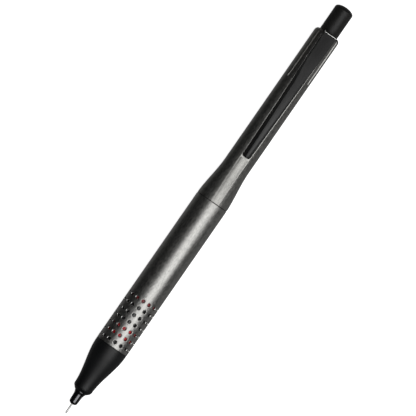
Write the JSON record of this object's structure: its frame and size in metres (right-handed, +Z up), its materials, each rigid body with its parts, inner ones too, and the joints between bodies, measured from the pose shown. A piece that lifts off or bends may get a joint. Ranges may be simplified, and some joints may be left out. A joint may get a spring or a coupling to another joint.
{
  "type": "mechanical pencil",
  "caption": "Metal-barrelled mechanical pencil with a drilled grip, black cone, clip and push cap, a sliding guide pipe and a mechanism that turns the lead.",
  "frame": {"origin": "middle of the box's footprint on the table, under the middle of the pencil's length", "axes": "+X along the pencil's axis from the lead's tip towards the push cap, +Z up through the clip"},
  "size_m": [0.145, 0.0104, 0.0108],
  "materials": {
    "black_cone": "satin",
    "black_nose": "gloss",
    "steel": "brushed",
    "brass": "turned",
    "graphite": "matte, standing in for graphite",
    "grey_rubber": "matte",
    "front_metal": "fine blasted gunmetal",
    "rear_metal": "fine blasted gunmetal",
    "black_rubber": "matte",
    "clip_black": "satin",
    "black_plastic": "matte",
    "cap_black": "satin",
    "eraser_white": "matte",
    "dark_plastic": "matte",
    "clear_plastic": "translucent",
    "rotor_red": "gloss",
    "gloss_black": "gloss",
    "dark_red": "satin"
  },
  "bodies": {
    "barrel": {"front_cone": "black_cone", "front_barrel": "front_metal", "rear_barrel": "rear_metal", "seam_ring": "black_rubber", "barrel_joint": "brass", "cap_bush": "black_plastic", "tank_guide": "black_plastic", "lower_cam": "gloss_black", "upper_cam": "gloss_black", "engine_housing": "gloss_black", "engine_cap": "dark_red", "cushion_spring": "steel"},
    "clip": {"clip": "clip_black"},
    "knock": {"eraser_holder": "dark_plastic", "eraser": "eraser_white"},
    "cap": {"push_cap": "cap_black"},
    "cushion": {"torque_washer": "steel"},
    "rotor": {"rotor": "rotor_red", "chuck_sleeve": "steel", "nose_tip": "black_nose", "lead_retainer": "grey_rubber", "chuck_spring": "steel"},
    "pipe": {"guide_pipe": "steel", "pipe_collar": "brass"},
    "feed": {"chuck": "brass", "tank_connector": "brass", "lead_tank": "clear_plastic", "spare_leads": "graphite"},
    "clutch": {"clutch_ring": "brass", "lead": "graphite"}
  },
  "joints": [
    {"name": "knock_press", "type": "slide", "parent": "barrel", "child": "knock", "axis": [-1, 0, 0], "range_m": [0, 0.0035], "stiffness_N_per_m": 400, "springref_m": -0.003},
    {"name": "cap_pull", "type": "slide", "parent": "knock", "child": "cap", "axis": [1, 0, 0], "range_m": [0, 0.012]},
    {"name": "write_cushion", "type": "slide", "parent": "barrel", "child": "cushion", "axis": [1, 0, 0], "range_m": [0, 0.00025], "stiffness_N_per_m": 600, "springref_m": -0.0005, "deforming": ["cushion_spring"]},
    {"name": "rotor_turn", "type": "hinge", "parent": "cushion", "child": "rotor", "pos_m": [-0.04, 0, 0.0052], "axis": [1, 0, 0], "range_deg": [0, 9.1]},
    {"name": "pipe_retract", "type": "slide", "parent": "rotor", "child": "pipe", "axis": [1, 0, 0], "range_m": [0, 0.0028]},
    {"name": "feed_slide", "type": "slide", "parent": "rotor", "child": "feed", "axis": [-1, 0, 0], "range_m": [0, 0.00352], "deforming": ["chuck_spring"]},
    {"name": "clutch_slide", "type": "slide", "parent": "rotor", "child": "clutch", "axis": [-1, 0, 0], "range_m": [0, 0.00072]},
    {"name": "clip_flex", "type": "hinge", "parent": "barrel", "child": "clip", "pos_m": [0.0575, 0, 0.0089], "axis": [0, 1, 0], "range_deg": [0, 2], "stiffness_Nm_per_rad": 2, "springref_deg": -0.57}
  ],
  "couplings": [
    {"joint": "feed_slide", "follows": "knock_press", "ratio": 1},
    {"joint": "clutch_slide", "follows": "knock_press", "ratio": 0.2},
    {"joint": "rotor_turn", "follows": "write_cushion", "rad_per_m": 628.32}
  ]
}
